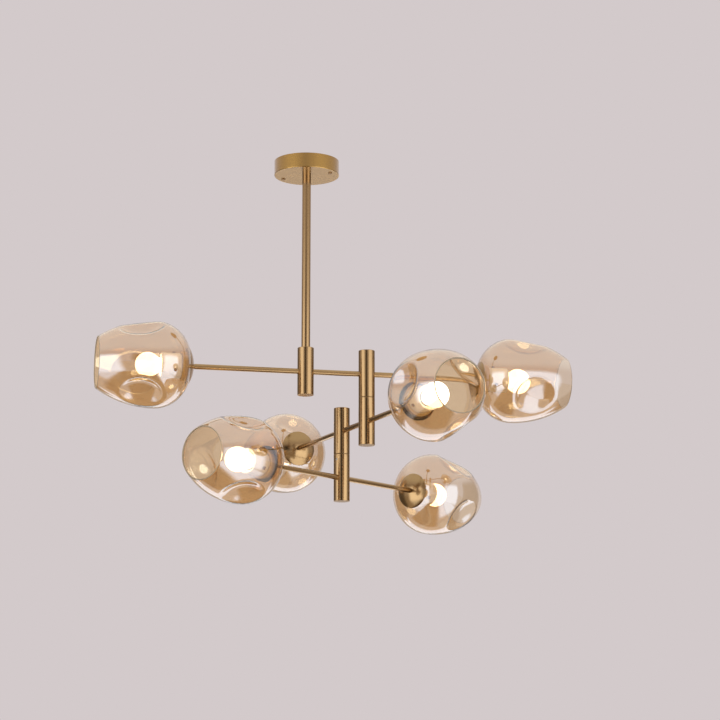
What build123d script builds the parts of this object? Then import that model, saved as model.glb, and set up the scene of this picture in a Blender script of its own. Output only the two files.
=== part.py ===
from build123d import *
import os
from math import asin, cos, degrees, radians, sin, sqrt

# Globe chandelier: three stacked arms below a ceiling canopy, with a lit glass shade at each arm end.
# Millimetres, +Z up. The origin is on the stem's axis, in the plane where the canopy meets the ceiling.
# The top arm lies along X. A lamp head is drawn along +Z from the axis of the hub that carries it, and is
# then laid along its arm, so a head's heights are distances from that hub.

# Clearances
PUSH_FIT = 0.05  # radial, between a screwed or pushed-in piece and its hole
SWIVEL_FIT = 0.05  # radial, between a pivot and the collar that turns on it
SEAT_GAP = 0.2  # between curved faces that bear on each other
SEAM_GAP = 0.4  # between the two lengths of a swivelling hub

# Ceiling canopy and mounting bar
CANOPY_DIAMETER = 120.0
CANOPY_HEIGHT = 27.0
CANOPY_WALL = 1.2
CANOPY_SCREW_INSET = 12.0  # from the canopy's rim
CANOPY_SCREW_TURN = -37.0  # degrees, from the top arm
CANOPY_SCREW_DIAMETER = 4.0
CANOPY_SCREW_HEAD = 7.0
CANOPY_SCREW_HEAD_HEIGHT = 2.2
BAR_WIDTH = 20.0
BAR_THICKNESS = 2.0
BAR_END = 5.0  # bar beyond the canopy screws' holes
CEILING_HOLE_INSET = 16.0  # from the canopy screws' holes
CEILING_HOLE_DIAMETER = 5.0

# Terminal block on the canopy's floor
BLOCK_LENGTH = 30.0
BLOCK_WIDTH = 16.0
BLOCK_HEIGHT = 18.0
BLOCK_POLES = 3
BLOCK_ENTRY_HEIGHT = 13.0  # of the wire holes above the canopy's floor
BLOCK_ENTRY_DIAMETER = 3.2
BLOCK_SPACE = 3.0  # beside the stem's nut

# Stem, with the threaded nipples and nuts at its two ends
STEM_DIAMETER = 16.0
STEM_WALL = 1.5
STEM_LENGTH = 326.0
STEM_END = 14.0  # thickened, tapped length at each end
NIPPLE_DIAMETER = 10.0
NIPPLE_BORE = 6.5
NIPPLE_GRIP = 12.0  # length screwed into the stem
NIPPLE_STUB = 2.0  # thread that stands past the nut
NUT_WIDTH = 17.0
NUT_HEIGHT = 5.0

# Hubs
HUB_DIAMETER = 30.0
HUB_WALL = 3.0
HUB_LENGTH = 87.6
HUB_END = 4.0  # thickness of a closed end
HUB_EDGE = 0.8  # broken edge of the visible ends
PLUG_THICKNESS = 5.0

# Swivels: a hollow pivot in the upper length turns in a collar of the lower one, kept by a grub screw
PIVOT_DIAMETER = 14.0
PIVOT_BORE = 7.0
PIVOT_FLANGE = 12.0  # length held in the upper hub
PIVOT_TAIL = 2.0  # length past the collar
COLLAR_DEPTH = 18.0
GROOVE_DEPTH = 1.4
GROOVE_PLAY = 0.5  # axial, each side of the grub screw
GRUB_DIAMETER = 4.0
GRUB_DROP = 10.0  # below the seam
GRUB_SETBACK = 0.5  # of the grub screw's outer end, inside the hub's surface
GRUB_TIP_GAP = 0.3
GRUB_KEY = 2.0  # across flats
GRUB_KEY_DEPTH = 2.0

# Arms
ARM_REACH = 204.0  # from a hub's axis to the top of the dome cap
HUB_SPACING = 114.0  # between neighbouring hubs of one arm
MIDDLE_ARM_TURN = 101.0  # degrees, from the top arm
BOTTOM_ARM_TURN = 38.0
TUBE_DIAMETER = 10.0
TUBE_BORE = 6.5
TUBE_INSET = 1.0  # inside the hub's wall
SPIGOT_DIAMETER = 8.0
SPIGOT_BORE = 5.0
SPIGOT_LENGTH = 13.0
SPIGOT_SHOULDER = 2.0  # thickness of the tube's end behind the spigot
CABLE_DIAMETER = 4.0
CABLE_BEND = 6.0
SPLICE_DIAMETER = 9.0
SPLICE_LENGTH = 14.0
SPLICE_GAP = 0.4  # under the cable that hangs in the pivot

# Dome cap at the neck of each shade
DOME_DIAMETER = 68.0
DOME_DEPTH = 9.5
DOME_WALL = 1.2

# Glass shade, with dimples pressed in round it
SHADE_DIAMETER = 157.0
SHADE_LENGTH = 168.0
SHADE_NECK_ARC = 64.0
SHADE_MOUTH = 93.0
SHADE_WALL = 2.5
SHADE_HOLE = 42.0
DIMPLE_RADIUS = 60.0
DIMPLE_DEPTH = 23.0
DIMPLE_STATION = 98.0  # from the neck end of the shade

# Lampholder, with its ring nut, sleeve and contacts
HOLDER_DIAMETER = 39.0
HOLDER_LENGTH = 48.0
HOLDER_BOSS = 18.0
HOLDER_BOSS_LENGTH = 5.0
SOCKET_DIAMETER = 29.0
SOCKET_DEPTH = 24.0
SOCKET_SHELL_WALL = 0.8
SOCKET_SHELL_SETBACK = 2.0  # behind the lampholder's front
CONTACT_DIAMETER = 8.0
CONTACT_HEIGHT = 2.5
RING_DIAMETER = 54.0
RING_LENGTH = 12.0
SLEEVE_DIAMETER = 46.0
SLEEVE_LENGTH = 37.0
SLEEVE_SCREWS = 3
SLEEVE_SCREW_DIAMETER = 3.0
SLEEVE_SCREW_HEAD = 6.0
SLEEVE_SCREW_HEAD_HEIGHT = 2.4
SLEEVE_SCREW_GRIP = 3.0  # length in the lampholder's wall
SLEEVE_SCREW_STATION = 13.0  # from the sleeve's neck end

# Bulb
BULB_DIAMETER = 45.0
BULB_LENGTH = 78.0  # from its contact to its tip
BULB_WALL = 1.2
BULB_BASE_LENGTH = 23.0
BULB_BASE_PLAY = 0.3  # radial, inside the screw shell
BULB_PIP_DIAMETER = 9.0
BULB_PIP_LENGTH = 2.0

# Where the dimples are round each shade, pressed by hand, in degrees clockwise from the top, seen from the hub
DIMPLE_TURNS = {
    "top_left": (93.0, 213.0, 333.0),
    "top_right": (2.0, 122.0, 242.0),
    "middle_front": (80.0, 212.0, 315.0),
    "middle_back": (19.0, 139.0, 259.0),
    "bottom_front": (100.0, 202.0, 335.0),
    "bottom_back": (35.0, 129.0, 250.0),
}

os.makedirs("parts", exist_ok=True)


def save(piece, name):
    """Labels a finished piece and writes it as its own file."""
    piece.label = name
    export_step(piece, f"parts/{name}.step")


def bearing(turn):
    """The level unit vector at an angle from the top arm."""
    return Vector(cos(radians(turn)), sin(radians(turn)), 0)


def outward(point, turn):
    """The plane at a point whose Z runs out along a bearing and whose X points up."""
    return Plane(origin=point, x_dir=(0, 0, 1), z_dir=bearing(turn))


# Levels and hub places
canopy_floor = -CANOPY_HEIGHT + CANOPY_WALL
stem_bottom = -CANOPY_HEIGHT - STEM_LENGTH
top_level = stem_bottom - HUB_LENGTH / 2
arm_pitch = HUB_LENGTH + SEAM_GAP
stem_hub_at = Vector(0, 0, top_level)
upper_hub_at = stem_hub_at + bearing(0) * HUB_SPACING
upper_swivel_at = upper_hub_at - Vector(0, 0, arm_pitch)
lower_hub_at = upper_swivel_at + bearing(MIDDLE_ARM_TURN) * HUB_SPACING
lower_swivel_at = lower_hub_at - Vector(0, 0, arm_pitch)

# The lamp heads of each arm: name, hub and bearing
HEADS = {
    "top": (("top_left", stem_hub_at, 180), ("top_right", upper_hub_at, 0)),
    "middle": (
        ("middle_front", upper_swivel_at, MIDDLE_ARM_TURN + 180),
        ("middle_back", lower_hub_at, MIDDLE_ARM_TURN),
    ),
    "bottom": (
        ("bottom_front", lower_swivel_at, BOTTOM_ARM_TURN + 180),
        ("bottom_back", lower_swivel_at, BOTTOM_ARM_TURN),
    ),
}

# Stations along a lamp head, from the hub's axis
hub_bore = HUB_DIAMETER / 2 - HUB_WALL
dome_sphere = (DOME_DIAMETER**2 / 4 + DOME_DEPTH**2) / (2 * DOME_DEPTH)
dome_centre = ARM_REACH + dome_sphere


def dome_inside(radius):
    """Station of the dome cap's inner face at a radius."""
    return dome_centre - sqrt((dome_sphere - DOME_WALL) ** 2 - radius**2)


shade_flat = SHADE_DIAMETER / 2 - SHADE_NECK_ARC
shade_drop = SHADE_NECK_ARC - sqrt(SHADE_NECK_ARC**2 - (DOME_DIAMETER / 2 - shade_flat) ** 2)
shade_neck = dome_inside(DOME_DIAMETER / 2) + SEAT_GAP - shade_drop
shade_widest = shade_neck + SHADE_NECK_ARC
shade_mouth = shade_neck + SHADE_LENGTH
mouth_run = SHADE_LENGTH - SHADE_NECK_ARC
mouth_taper = (SHADE_DIAMETER - SHADE_MOUTH) / 2
shade_mouth_arc = (mouth_run**2 + mouth_taper**2) / (2 * mouth_taper)
dimple_spread = SHADE_DIAMETER / 2 - DIMPLE_DEPTH + DIMPLE_RADIUS

holder_rear = dome_inside(HOLDER_BOSS / 2) + SEAT_GAP
holder_front = holder_rear + HOLDER_LENGTH
socket_floor = holder_front - SOCKET_DEPTH
spigot_end = ARM_REACH + SPIGOT_LENGTH
ring_seat = sqrt((SHADE_NECK_ARC - SHADE_WALL) ** 2 - (RING_DIAMETER / 2 - shade_flat) ** 2)
ring_rear = shade_widest - ring_seat + SEAT_GAP
sleeve_rear = ring_rear + RING_LENGTH
bulb_contact = socket_floor + CONTACT_HEIGHT
bulb_base_rear = bulb_contact + BULB_PIP_LENGTH
bulb_neck = bulb_base_rear + BULB_BASE_LENGTH
bulb_centre = bulb_contact + BULB_LENGTH - BULB_DIAMETER / 2
bulb_base_radius = SOCKET_DIAMETER / 2 - PUSH_FIT - SOCKET_SHELL_WALL - BULB_BASE_PLAY

# Mounting bar, flat on the ceiling, tapped for the canopy screws
screw_spread = CANOPY_DIAMETER / 2 - CANOPY_SCREW_INSET
ceiling_spread = screw_spread - CEILING_HOLE_INSET
canopy_plane = Plane.XY.rotated((0, 0, CANOPY_SCREW_TURN))

with BuildPart() as mounting_bar:
    with BuildSketch(canopy_plane):
        SlotCenterToCenter(2 * (screw_spread + BAR_END) - BAR_WIDTH, BAR_WIDTH)
        with Locations((-screw_spread, 0), (screw_spread, 0)):
            Circle(CANOPY_SCREW_DIAMETER / 2 + PUSH_FIT, mode=Mode.SUBTRACT)
        with Locations((-ceiling_spread, 0), (ceiling_spread, 0)):
            Circle(CEILING_HOLE_DIAMETER / 2, mode=Mode.SUBTRACT)
    extrude(amount=-BAR_THICKNESS)
save(mounting_bar.part, "mounting_bar")

# Canopy, a cup open towards the ceiling
with BuildPart() as ceiling_canopy:
    with BuildSketch(Plane.XY.offset(-CANOPY_HEIGHT)):
        Circle(CANOPY_DIAMETER / 2)
    extrude(amount=CANOPY_HEIGHT)
    fillet(ceiling_canopy.edges().group_by(Axis.Z)[0], CANOPY_WALL)
    with BuildSketch(Plane.XY.offset(canopy_floor)):
        Circle(CANOPY_DIAMETER / 2 - CANOPY_WALL)
    extrude(amount=CANOPY_HEIGHT, mode=Mode.SUBTRACT)
    with BuildSketch(canopy_plane.offset(-CANOPY_HEIGHT)):
        Circle(NIPPLE_DIAMETER / 2 + PUSH_FIT)
        with Locations((-screw_spread, 0), (screw_spread, 0)):
            Circle(CANOPY_SCREW_DIAMETER / 2 + PUSH_FIT)
    extrude(amount=CANOPY_WALL, mode=Mode.SUBTRACT)
save(ceiling_canopy.part, "ceiling_canopy")

# Canopy screws, up through the canopy into the mounting bar
with BuildPart() as canopy_screws:
    with BuildSketch(canopy_plane.offset(-CANOPY_HEIGHT)):
        with Locations((-screw_spread, 0), (screw_spread, 0)):
            Circle(CANOPY_SCREW_HEAD / 2)
    extrude(amount=-CANOPY_SCREW_HEAD_HEIGHT)
    fillet(canopy_screws.edges().group_by(Axis.Z)[0], CANOPY_SCREW_HEAD_HEIGHT / 2)
    with BuildSketch(canopy_plane.offset(-CANOPY_HEIGHT)):
        with Locations((-screw_spread, 0), (screw_spread, 0)):
            Circle(CANOPY_SCREW_DIAMETER / 2)
    extrude(amount=CANOPY_HEIGHT - SEAT_GAP)
save(canopy_screws.part, "canopy_screws")

# Terminal block beside the stem's nut, across from the mounting bar
block_offset = NUT_WIDTH / sqrt(3) + BLOCK_SPACE + BLOCK_WIDTH / 2
block_centre = bearing(CANOPY_SCREW_TURN + 90) * block_offset + Vector(0, 0, canopy_floor)
block_plane = Plane(origin=block_centre, x_dir=bearing(CANOPY_SCREW_TURN), z_dir=(0, 0, 1))
block_side = Plane(
    origin=block_centre + Vector(0, 0, BLOCK_ENTRY_HEIGHT),
    x_dir=bearing(CANOPY_SCREW_TURN),
    z_dir=bearing(CANOPY_SCREW_TURN + 90),
)
block_pitch = BLOCK_LENGTH / BLOCK_POLES

with BuildPart() as terminal_block:
    with BuildSketch(block_plane):
        Rectangle(BLOCK_LENGTH, BLOCK_WIDTH)
    extrude(amount=BLOCK_HEIGHT)
    with BuildSketch(block_side):
        with GridLocations(block_pitch, 1, BLOCK_POLES, 1):
            Circle(BLOCK_ENTRY_DIAMETER / 2)
    extrude(amount=BLOCK_WIDTH, mode=Mode.SUBTRACT)
    with BuildSketch(block_plane.offset(BLOCK_HEIGHT)):
        with GridLocations(block_pitch, BLOCK_WIDTH / 2, BLOCK_POLES, 2):
            Circle(BLOCK_ENTRY_DIAMETER / 2)
    extrude(amount=BLOCK_ENTRY_HEIGHT - BLOCK_HEIGHT, mode=Mode.SUBTRACT)
save(terminal_block.part, "terminal_block")

# Stem, with a tapped length at each end
with BuildPart() as stem_tube:
    with BuildSketch(Plane.XY.offset(stem_bottom)):
        Circle(STEM_DIAMETER / 2)
        Circle(NIPPLE_DIAMETER / 2 + PUSH_FIT, mode=Mode.SUBTRACT)
    extrude(amount=STEM_LENGTH)
    with BuildSketch(Plane.XY.offset(stem_bottom + STEM_END)):
        Circle(STEM_DIAMETER / 2 - STEM_WALL)
    extrude(amount=STEM_LENGTH - 2 * STEM_END, mode=Mode.SUBTRACT)
save(stem_tube.part, "stem_tube")

# Nipples through the canopy's floor and through the stem hub's top, each with its nut
top_nipple_low = -CANOPY_HEIGHT - NIPPLE_GRIP
top_nipple_length = NIPPLE_GRIP + CANOPY_WALL + NUT_HEIGHT + NIPPLE_STUB
low_nipple_low = stem_bottom - HUB_END - NUT_HEIGHT - NIPPLE_STUB
low_nipple_length = NIPPLE_STUB + NUT_HEIGHT + HUB_END + NIPPLE_GRIP

with BuildPart() as stem_nipples:
    for low, length in ((top_nipple_low, top_nipple_length), (low_nipple_low, low_nipple_length)):
        with BuildSketch(Plane.XY.offset(low)):
            Circle(NIPPLE_DIAMETER / 2)
            Circle(NIPPLE_BORE / 2, mode=Mode.SUBTRACT)
        extrude(amount=length)
save(stem_nipples.part, "stem_nipples")

with BuildPart() as stem_nuts:
    for low in (canopy_floor, stem_bottom - HUB_END - NUT_HEIGHT):
        with BuildSketch(Plane.XY.offset(low)):
            RegularPolygon(NUT_WIDTH / 2, 6, major_radius=False)
            Circle(NIPPLE_DIAMETER / 2 + PUSH_FIT, mode=Mode.SUBTRACT)
        extrude(amount=NUT_HEIGHT)
save(stem_nuts.part, "stem_nuts")


def hub_shell(point, turn, top_hole):
    """A hub length closed at its top, open below, with an arm's cross hole at a bearing."""
    with BuildPart() as shell:
        with BuildSketch(Plane(point).offset(-HUB_LENGTH / 2)):
            Circle(HUB_DIAMETER / 2)
        extrude(amount=HUB_LENGTH)
        fillet(shell.edges().filter_by(GeomType.CIRCLE), HUB_EDGE)
        with BuildSketch(Plane(point).offset(-HUB_LENGTH / 2)):
            Circle(hub_bore)
        extrude(amount=HUB_LENGTH - HUB_END, mode=Mode.SUBTRACT)
        if top_hole:
            with BuildSketch(Plane(point).offset(HUB_LENGTH / 2)):
                Circle(NIPPLE_DIAMETER / 2 + PUSH_FIT)
            extrude(amount=-HUB_END, mode=Mode.SUBTRACT)
        with BuildSketch(outward(point, turn)):
            Circle(TUBE_DIAMETER / 2 + PUSH_FIT)
        extrude(amount=HUB_DIAMETER, both=True, mode=Mode.SUBTRACT)
    return shell.part


def swivel_shell(point, turn, grub_turn):
    """A hub length with a swivel collar at its top, open below, with a cross hole and a grub screw hole."""
    with BuildPart() as shell:
        with BuildSketch(Plane(point).offset(-HUB_LENGTH / 2)):
            Circle(HUB_DIAMETER / 2)
        extrude(amount=HUB_LENGTH)
        fillet(shell.edges().filter_by(GeomType.CIRCLE), HUB_EDGE)
        with BuildSketch(Plane(point).offset(-HUB_LENGTH / 2)):
            Circle(hub_bore)
        extrude(amount=HUB_LENGTH - COLLAR_DEPTH, mode=Mode.SUBTRACT)
        with BuildSketch(Plane(point).offset(HUB_LENGTH / 2)):
            Circle(PIVOT_DIAMETER / 2 + SWIVEL_FIT)
        extrude(amount=-COLLAR_DEPTH, mode=Mode.SUBTRACT)
        with BuildSketch(outward(point, turn)):
            Circle(TUBE_DIAMETER / 2 + PUSH_FIT)
        extrude(amount=HUB_DIAMETER, both=True, mode=Mode.SUBTRACT)
        with BuildSketch(outward(point + Vector(0, 0, HUB_LENGTH / 2 - GRUB_DROP), grub_turn)):
            Circle(GRUB_DIAMETER / 2 + PUSH_FIT)
        extrude(amount=HUB_DIAMETER, mode=Mode.SUBTRACT)
    return shell.part


def hub_plug(point):
    """The disc that closes a hub from below, flush with its end."""
    with BuildPart() as plug:
        with BuildSketch(Plane(point).offset(-HUB_LENGTH / 2)):
            Circle(hub_bore - PUSH_FIT)
        extrude(amount=PLUG_THICKNESS)
    return plug.part


def swivel_pivot(point):
    """The hollow stepped pivot at the bottom of an upper hub length, grooved for the grub screw."""
    with BuildPart() as pivot:
        with BuildSketch(Plane(point).offset(-HUB_LENGTH / 2)):
            Circle(hub_bore - PUSH_FIT)
        extrude(amount=PIVOT_FLANGE)
        with BuildSketch(Plane(point).offset(-HUB_LENGTH / 2)):
            Circle(PIVOT_DIAMETER / 2)
        extrude(amount=-(SEAM_GAP + COLLAR_DEPTH + PIVOT_TAIL))
        with BuildSketch(Plane(point).offset(-HUB_LENGTH / 2 - SEAM_GAP - GRUB_DROP)):
            Circle(PIVOT_DIAMETER / 2)
            Circle(PIVOT_DIAMETER / 2 - GROOVE_DEPTH, mode=Mode.SUBTRACT)
        extrude(amount=GRUB_DIAMETER / 2 + GROOVE_PLAY, both=True, mode=Mode.SUBTRACT)
        with BuildSketch(Plane(point)):
            Circle(PIVOT_BORE / 2)
        extrude(amount=HUB_LENGTH, both=True, mode=Mode.SUBTRACT)
    return pivot.part


def grub_screw(point, turn):
    """A socket-head grub screw from a hub's surface into the pivot's groove."""
    tip = PIVOT_DIAMETER / 2 - GROOVE_DEPTH + GRUB_TIP_GAP
    outer_end = HUB_DIAMETER / 2 - GRUB_SETBACK
    plane = outward(point + Vector(0, 0, HUB_LENGTH / 2 - GRUB_DROP), turn)
    with BuildPart() as screw:
        with BuildSketch(plane.offset(tip)):
            Circle(GRUB_DIAMETER / 2)
        extrude(amount=outer_end - tip)
        with BuildSketch(plane.offset(outer_end)):
            RegularPolygon(GRUB_KEY / 2, 6, major_radius=False)
        extrude(amount=-GRUB_KEY_DEPTH, mode=Mode.SUBTRACT)
    return screw.part


save(hub_shell(stem_hub_at, 0, True), "stem_hub")
save(hub_plug(stem_hub_at), "stem_hub_plug")
save(hub_shell(upper_hub_at, 0, False), "upper_hub_top")
save(swivel_pivot(upper_hub_at), "upper_hub_pivot")
save(swivel_shell(upper_swivel_at, MIDDLE_ARM_TURN, MIDDLE_ARM_TURN), "upper_hub_swivel")
save(grub_screw(upper_swivel_at, MIDDLE_ARM_TURN), "upper_hub_grub_screw")
save(hub_plug(upper_swivel_at), "upper_hub_plug")
save(hub_shell(lower_hub_at, MIDDLE_ARM_TURN, False), "lower_hub_top")
save(swivel_pivot(lower_hub_at), "lower_hub_pivot")
save(swivel_shell(lower_swivel_at, BOTTOM_ARM_TURN, BOTTOM_ARM_TURN + 180), "lower_hub_swivel")
save(grub_screw(lower_swivel_at, BOTTOM_ARM_TURN + 180), "lower_hub_grub_screw")
save(hub_plug(lower_swivel_at), "lower_hub_plug")

# Arm tubes: an outer tube for each head, with a spigot at the lamp end, and links between hubs
tube_start = hub_bore - TUBE_INSET

with BuildPart() as outer_tube:
    with BuildSketch(Plane.XY.offset(tube_start)):
        Circle(TUBE_DIAMETER / 2)
        Circle(TUBE_BORE / 2, mode=Mode.SUBTRACT)
    extrude(amount=ARM_REACH - tube_start - SPIGOT_SHOULDER)
    with BuildSketch(Plane.XY.offset(ARM_REACH - SPIGOT_SHOULDER)):
        Circle(TUBE_DIAMETER / 2)
        Circle(SPIGOT_BORE / 2, mode=Mode.SUBTRACT)
    extrude(amount=SPIGOT_SHOULDER)
    with BuildSketch(Plane.XY.offset(ARM_REACH)):
        Circle(SPIGOT_DIAMETER / 2)
        Circle(SPIGOT_BORE / 2, mode=Mode.SUBTRACT)
    extrude(amount=SPIGOT_LENGTH)

with BuildPart() as link_tube:
    with BuildSketch(Plane.XY.offset(tube_start)):
        Circle(TUBE_DIAMETER / 2)
        Circle(TUBE_BORE / 2, mode=Mode.SUBTRACT)
    extrude(amount=HUB_SPACING - 2 * tube_start)

LINKS = {"top": (stem_hub_at, 0), "middle": (upper_swivel_at, MIDDLE_ARM_TURN)}

for arm, heads in HEADS.items():
    with BuildPart() as arm_tubes:
        for name, hub, turn in heads:
            with Locations(outward(hub, turn)):
                add(outer_tube.part)
        if arm in LINKS:
            with Locations(outward(*LINKS[arm])):
                add(link_tube.part)
    save(arm_tubes.part, f"{arm}_arm_tubes")

# Wiring: one cable along each arm, from contact to contact, with a splice in each hub it serves.
# The top arm's wiring rises to the terminal block. A drop through each pivot feeds the arm below it.
drop_end = arm_pitch - SPLICE_LENGTH / 2 - SPLICE_GAP
block_face = block_centre - bearing(CANOPY_SCREW_TURN + 90) * (BLOCK_WIDTH / 2)
cable_top = canopy_floor + BLOCK_ENTRY_HEIGHT
WIRING = {
    "top": (stem_hub_at, upper_hub_at, True),
    "middle": (upper_swivel_at, lower_hub_at, True),
    "bottom": (lower_swivel_at, lower_swivel_at, False),
}

for arm, (first_hub, last_hub, feeds_next) in WIRING.items():
    with BuildPart() as arm_wiring:
        for name, hub, turn in HEADS[arm]:
            with BuildSketch(outward(hub, turn)):
                Circle(CABLE_DIAMETER / 2)
            extrude(amount=socket_floor)
        if arm in LINKS:
            with BuildSketch(outward(*LINKS[arm])):
                Circle(CABLE_DIAMETER / 2)
            extrude(amount=HUB_SPACING)
        for hub in (first_hub, last_hub):
            with BuildSketch(Plane(hub)):
                Circle(SPLICE_DIAMETER / 2)
            extrude(amount=SPLICE_LENGTH / 2, both=True)
        if feeds_next:
            with BuildSketch(Plane(last_hub)):
                Circle(CABLE_DIAMETER / 2)
            extrude(amount=-drop_end)
        if arm == "top":
            with BuildLine() as supply_route:
                FilletPolyline(
                    stem_hub_at, (0, 0, cable_top), (block_face.X, block_face.Y, cable_top), radius=CABLE_BEND
                )
            with BuildSketch(Plane(stem_hub_at)):
                Circle(CABLE_DIAMETER / 2)
            sweep(path=supply_route.wire())
    save(arm_wiring.part, f"{arm}_arm_wiring")

# Dome cap, a dished disc with its rim on the glass
with BuildPart() as dome_cap:
    with BuildSketch(Plane.XZ):
        with Locations((0, dome_centre)):
            Circle(dome_sphere)
            Circle(dome_sphere - DOME_WALL, mode=Mode.SUBTRACT)
        with Locations((SPIGOT_DIAMETER / 2 + PUSH_FIT, ARM_REACH)):
            cap_width = DOME_DIAMETER / 2 - SPIGOT_DIAMETER / 2 - PUSH_FIT
            Rectangle(cap_width, dome_sphere, align=Align.MIN, mode=Mode.INTERSECT)
    revolve(axis=Axis.Z)


def shade_body(turns, inset):
    """A shade's dimpled egg as a solid, drawn in from the glass's outer face by an inset."""
    with BuildPart() as body:
        with BuildSketch(Plane.XZ):
            with BuildLine():
                neck = CenterArc((shade_flat, shade_widest), SHADE_NECK_ARC - inset, -90, 90)
                mouth_arc = shade_mouth_arc - inset
                mouth_angle = degrees(asin(mouth_run / mouth_arc))
                mouth_centre = (SHADE_DIAMETER / 2 - shade_mouth_arc, shade_widest)
                mouth = CenterArc(mouth_centre, mouth_arc, 0, mouth_angle)
                Polyline(mouth @ 1, (0, shade_mouth), (0, (neck @ 0).Y), neck @ 0)
            make_face()
        revolve(axis=Axis.Z)
        with Locations((0, 0, shade_neck + DIMPLE_STATION)):
            for turn in turns:
                with PolarLocations(dimple_spread, 1, start_angle=turn):
                    Sphere(DIMPLE_RADIUS + inset, mode=Mode.SUBTRACT)
    return body.part


def glass_shade(turns):
    """A shade: its dimpled egg, hollow, with a hole at its neck and its mouth open."""
    with BuildPart() as shade:
        add(shade_body(turns, 0))
        add(shade_body(turns, SHADE_WALL), mode=Mode.SUBTRACT)
        with BuildSketch(Plane.XY.offset(ARM_REACH)):
            Circle(SHADE_HOLE / 2)
        extrude(amount=SHADE_NECK_ARC, mode=Mode.SUBTRACT)
    return shade.part


# Lampholder body: the arm's spigot screws into its boss, the bulb into its socket
screw_station = sleeve_rear + SLEEVE_SCREW_STATION
screw_depth = HOLDER_DIAMETER / 2 - SLEEVE_SCREW_GRIP
screw_planes = [
    Plane(origin=(0, 0, screw_station), x_dir=(0, 0, 1), z_dir=bearing(360 / SLEEVE_SCREWS * n))
    for n in range(SLEEVE_SCREWS)
]

with BuildPart() as lampholder:
    with BuildSketch(Plane.XY.offset(holder_rear)):
        Circle(HOLDER_BOSS / 2)
    extrude(amount=HOLDER_BOSS_LENGTH)
    with BuildSketch(Plane.XY.offset(holder_rear + HOLDER_BOSS_LENGTH)):
        Circle(HOLDER_DIAMETER / 2)
    extrude(amount=HOLDER_LENGTH - HOLDER_BOSS_LENGTH)
    with BuildSketch(Plane.XY.offset(socket_floor)):
        Circle(SOCKET_DIAMETER / 2)
    extrude(amount=SOCKET_DEPTH, mode=Mode.SUBTRACT)
    with BuildSketch(Plane.XY.offset(holder_rear)):
        Circle(SPIGOT_DIAMETER / 2 + PUSH_FIT)
    extrude(amount=spigot_end - holder_rear, mode=Mode.SUBTRACT)
    with BuildSketch(Plane.XY.offset(holder_rear)):
        Circle(SPIGOT_BORE / 2)
    extrude(amount=HOLDER_LENGTH, mode=Mode.SUBTRACT)
    for plane in screw_planes:
        with BuildSketch(plane.offset(screw_depth)):
            Circle(SLEEVE_SCREW_DIAMETER / 2 + PUSH_FIT)
        extrude(amount=HOLDER_DIAMETER, mode=Mode.SUBTRACT)

# Ring nut on the lampholder, which holds the glass against the dome cap
with BuildPart() as ring_nut:
    with BuildSketch(Plane.XY.offset(ring_rear)):
        Circle(RING_DIAMETER / 2)
        Circle(HOLDER_DIAMETER / 2 + PUSH_FIT, mode=Mode.SUBTRACT)
    extrude(amount=RING_LENGTH)

# White sleeve over the lampholder
with BuildPart() as sleeve:
    with BuildSketch(Plane.XY.offset(sleeve_rear)):
        Circle(SLEEVE_DIAMETER / 2)
        Circle(HOLDER_DIAMETER / 2 + PUSH_FIT, mode=Mode.SUBTRACT)
    extrude(amount=SLEEVE_LENGTH)
    for plane in screw_planes:
        with BuildSketch(plane):
            Circle(SLEEVE_SCREW_DIAMETER / 2 + PUSH_FIT)
        extrude(amount=SLEEVE_DIAMETER, mode=Mode.SUBTRACT)

# Round-head screws through the sleeve into the lampholder's wall
with BuildPart() as sleeve_screws:
    for plane in screw_planes:
        with BuildSketch(plane.offset(screw_depth)):
            Circle(SLEEVE_SCREW_DIAMETER / 2)
        extrude(amount=SLEEVE_DIAMETER / 2 - screw_depth)
        with BuildSketch(plane.offset(SLEEVE_DIAMETER / 2)):
            Circle(SLEEVE_SCREW_HEAD / 2)
        extrude(amount=SLEEVE_SCREW_HEAD_HEIGHT)

# Screw shell and centre contact in the socket
with BuildPart() as contacts:
    with BuildSketch(Plane.XY.offset(socket_floor)):
        Circle(SOCKET_DIAMETER / 2 - PUSH_FIT)
        Circle(SOCKET_DIAMETER / 2 - PUSH_FIT - SOCKET_SHELL_WALL, mode=Mode.SUBTRACT)
    extrude(amount=SOCKET_DEPTH - SOCKET_SHELL_SETBACK)
    with BuildSketch(Plane.XY.offset(socket_floor)):
        Circle(CONTACT_DIAMETER / 2)
    extrude(amount=CONTACT_HEIGHT)

# Bulb: a screw base with its contact pip, and a thin globe open at its neck
with BuildPart() as bulb_base:
    with BuildSketch(Plane.XY.offset(bulb_contact)):
        Circle(BULB_PIP_DIAMETER / 2)
    extrude(amount=BULB_PIP_LENGTH)
    with BuildSketch(Plane.XY.offset(bulb_base_rear)):
        Circle(bulb_base_radius)
    extrude(amount=BULB_BASE_LENGTH)

with BuildPart() as bulb_glass:
    with BuildSketch(Plane.XZ):
        for inset, mode in ((0, Mode.ADD), (BULB_WALL, Mode.SUBTRACT)):
            with Locations((0, bulb_centre)):
                Circle(BULB_DIAMETER / 2 - inset, mode=mode)
            with Locations((0, bulb_neck)):
                neck_width = 2 * (bulb_base_radius - inset)
                Rectangle(neck_width, bulb_centre - bulb_neck, align=(Align.CENTER, Align.MIN), mode=mode)
        with Locations((0, bulb_neck)):
            Rectangle(BULB_DIAMETER, BULB_LENGTH, align=Align.MIN, mode=Mode.INTERSECT)
    revolve(axis=Axis.Z)

# The pieces of each arm's two heads, two to a node
HEAD_PIECES = {
    "dome_caps": dome_cap,
    "lampholders": lampholder,
    "ring_nuts": ring_nut,
    "sleeves": sleeve,
    "sleeve_screws": sleeve_screws,
    "socket_contacts": contacts,
    "bulb_bases": bulb_base,
}

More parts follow.
